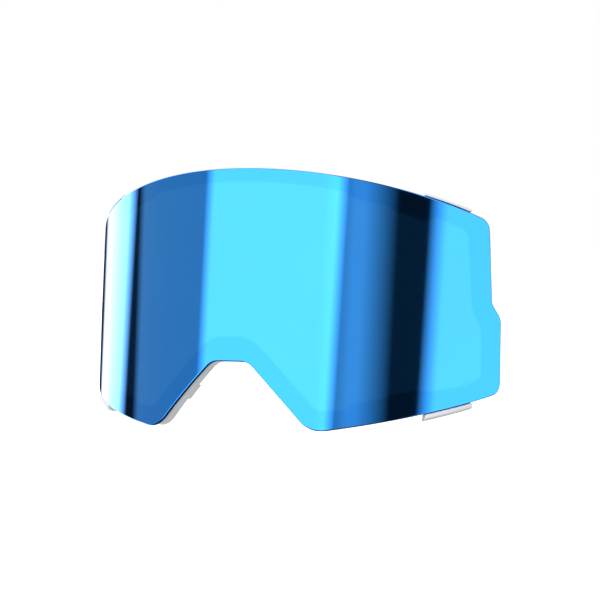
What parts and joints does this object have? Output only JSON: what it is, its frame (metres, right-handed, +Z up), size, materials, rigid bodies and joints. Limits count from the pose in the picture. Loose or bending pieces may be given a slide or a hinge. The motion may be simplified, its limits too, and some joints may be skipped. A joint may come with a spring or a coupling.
{
  "type": "ski goggle lens unit",
  "caption": "Wide single-curved mirrored goggle lens with a nose cut-out, bonded to a moulded carrier ring with tabs, magnets, a foam spacer and an inner lens.",
  "frame": {"origin": "under the middle of the bounding box, at the height of the two feet beside the nose", "axes": "+Z up, +X towards the wearer's left and along the unit's width, -Y out of the mirrored face"},
  "size_m": [0.1834, 0.056, 0.1014],
  "materials": {
    "outer_lens": "mirror-coated, polished",
    "adhesive": "matte film",
    "carrier": "satin moulded",
    "foam": "closed-cell foam, matte",
    "inner_lens": "polished, anti-fog",
    "magnet": "nickel plated"
  },
  "bodies": {
    "root": {"outer_lens": "outer_lens", "carrier_bond_tape": "adhesive", "carrier_frame": "carrier", "gasket_tape_front": "adhesive", "spacer_gasket": "foam", "gasket_tape_back": "adhesive", "inner_lens": "inner_lens", "magnet_upper_left": "magnet", "magnet_upper_right": "magnet", "magnet_lower_left": "magnet", "magnet_lower_right": "magnet"}
  },
  "joints": []
}
